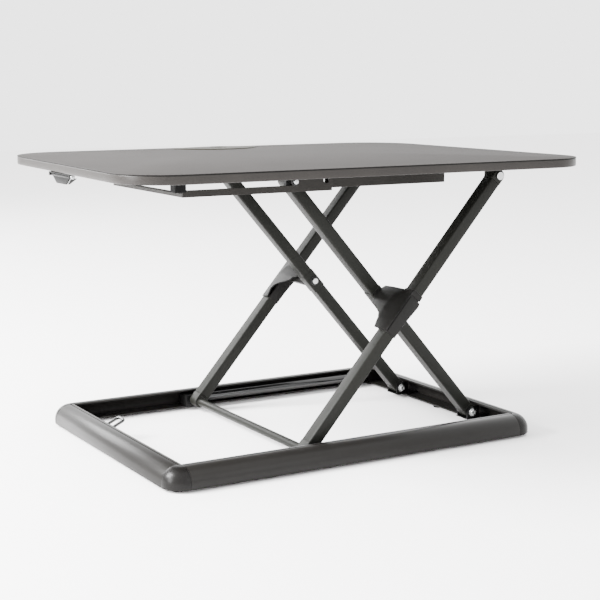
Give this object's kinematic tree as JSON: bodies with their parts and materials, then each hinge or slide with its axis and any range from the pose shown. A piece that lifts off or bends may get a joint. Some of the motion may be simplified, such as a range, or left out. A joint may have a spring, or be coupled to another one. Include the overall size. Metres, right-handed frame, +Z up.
{
  "type": "standing desk converter",
  "caption": "Standing desk converter: a wide flat desktop that stays level on a scissor lift of crossed legs over an open base frame, with edge levers that release the lock.",
  "frame": {"origin": "on the ground under the middle of the desktop and of the base", "axes": "+X to the user's right along the desktop's width, +Y away from the user, +Z up"},
  "size_m": [0.794, 0.58, 0.4574],
  "materials": {
    "frame_coat": "textured dark grey powder coat",
    "dark_plastic": "fine-grained black moulding",
    "rubber": "matte",
    "fastener_steel": "zinc plated",
    "cable_sheath": "satin",
    "polished_rod": "polished",
    "cylinder_black": "gloss black",
    "bush_bronze": "satin",
    "lock_steel": "satin",
    "board_core": "grey-faced fibreboard",
    "grey_laminate": "smooth satin laminate",
    "insert_olive": "satin moulding"
  },
  "bodies": {
    "base": {"base_bar_front": "frame_coat", "base_bar_rear": "frame_coat", "base_bar_left": "frame_coat", "base_bar_right": "frame_coat", "corner_caps": "dark_plastic", "rubber_feet": "rubber", "corner_screws": "fastener_steel", "pivot_brackets": "frame_coat", "base_pivot_bolts": "fastener_steel", "base_pivot_nuts": "fastener_steel", "catch_loop": "frame_coat", "cylinder_barrel": "cylinder_black", "cylinder_gland": "dark_plastic", "cylinder_end_plug": "fastener_steel", "cylinder_holder": "frame_coat"},
    "inner_frame": {"inner_leg_front": "frame_coat", "inner_leg_rear": "frame_coat", "inner_leg_foot_fittings": "dark_plastic", "inner_leg_top_fittings": "dark_plastic", "top_axle": "fastener_steel", "mid_pivot_shafts": "fastener_steel", "mid_pivot_nuts": "fastener_steel", "mid_pivot_spacers": "dark_plastic"},
    "outer_frame": {"outer_leg_front": "frame_coat", "outer_leg_rear": "frame_coat", "outer_leg_foot_fittings": "dark_plastic", "outer_leg_top_fittings": "dark_plastic", "outer_leg_bushes": "bush_bronze", "pivot_cover_front": "dark_plastic", "pivot_cover_rear": "dark_plastic", "foot_pins": "fastener_steel", "foot_cross_tube": "frame_coat"},
    "base_sliders": {"base_slider_front": "dark_plastic", "base_slider_rear": "dark_plastic", "piston_rod": "polished_rod", "piston": "fastener_steel"},
    "top_sliders": {"slider_shoes": "dark_plastic", "lock_bar": "lock_steel", "axle_clips": "fastener_steel"},
    "desktop": {"desktop_board": "board_core", "desktop_laminate": "grey_laminate", "cable_insert": "insert_olive", "rail_front": "frame_coat", "rail_rear": "frame_coat", "stiffener_channels": "frame_coat", "cross_strut": "frame_coat", "fold_bumpers": "rubber", "hinge_brackets": "frame_coat", "hinge_bolts": "fastener_steel", "under_desk_screws": "fastener_steel", "lock_housing": "frame_coat", "lock_pins": "fastener_steel", "lever_brackets": "dark_plastic", "lever_springs": "fastener_steel", "release_cable_left": "cable_sheath", "release_cable_right": "cable_sheath", "cable_clips": "dark_plastic"},
    "release_lever_left": {"release_lever_left": "dark_plastic"},
    "release_lever_right": {"release_lever_right": "dark_plastic"},
    "lock_cam_left": {"lock_cam_left": "lock_steel"},
    "lock_cam_right": {"lock_cam_right": "lock_steel"}
  },
  "joints": [
    {"name": "lift", "type": "hinge", "parent": "base", "child": "inner_frame", "pos_m": [0.2899, 0, 0.019], "axis": [0, -1, 0], "range_deg": [0, 47.19]},
    {"name": "cross_pivot", "type": "hinge", "parent": "inner_frame", "child": "outer_frame", "pos_m": [0.10661, 0, 0.22948], "axis": [0, 1, 0], "range_deg": [0, 94.38]},
    {"name": "desktop_level", "type": "hinge", "parent": "outer_frame", "child": "desktop", "pos_m": [0.27644, 0, 0.4245], "axis": [0, -1, 0], "range_deg": [0, 47.19]},
    {"name": "base_slider_level", "type": "hinge", "parent": "outer_frame", "child": "base_sliders", "pos_m": [-0.07668, 0, 0.019], "axis": [0, -1, 0], "range_deg": [0, 47.19]},
    {"name": "top_slider_level", "type": "hinge", "parent": "inner_frame", "child": "top_sliders", "pos_m": [-0.06322, 0, 0.4245], "axis": [0, 1, 0], "range_deg": [0, 47.19]},
    {"name": "release_left", "type": "hinge", "parent": "desktop", "child": "release_lever_left", "pos_m": [-0.38605, 0, 0.4375], "axis": [0, -1, 0], "range_deg": [0, 24], "stiffness_Nm_per_rad": 0.2},
    {"name": "cam_left", "type": "hinge", "parent": "desktop", "child": "lock_cam_left", "pos_m": [-0.033, 0, 0.422], "axis": [0, 1, 0], "range_deg": [0, 20]},
    {"name": "release_right", "type": "hinge", "parent": "desktop", "child": "release_lever_right", "pos_m": [0.38605, 0, 0.4375], "axis": [0, 1, 0], "range_deg": [0, 24], "stiffness_Nm_per_rad": 0.2},
    {"name": "cam_right", "type": "hinge", "parent": "desktop", "child": "lock_cam_right", "pos_m": [-0.033, 0, 0.422], "axis": [0, -1, 0], "range_deg": [0, 20]}
  ],
  "couplings": [
    {"joint": "cross_pivot", "follows": "lift", "ratio": 2},
    {"joint": "desktop_level", "follows": "lift", "ratio": 1},
    {"joint": "base_slider_level", "follows": "lift", "ratio": 1},
    {"joint": "top_slider_level", "follows": "lift", "ratio": 1},
    {"joint": "cam_left", "follows": "release_left", "ratio": 0.83},
    {"joint": "cam_right", "follows": "release_right", "ratio": 0.83}
  ]
}
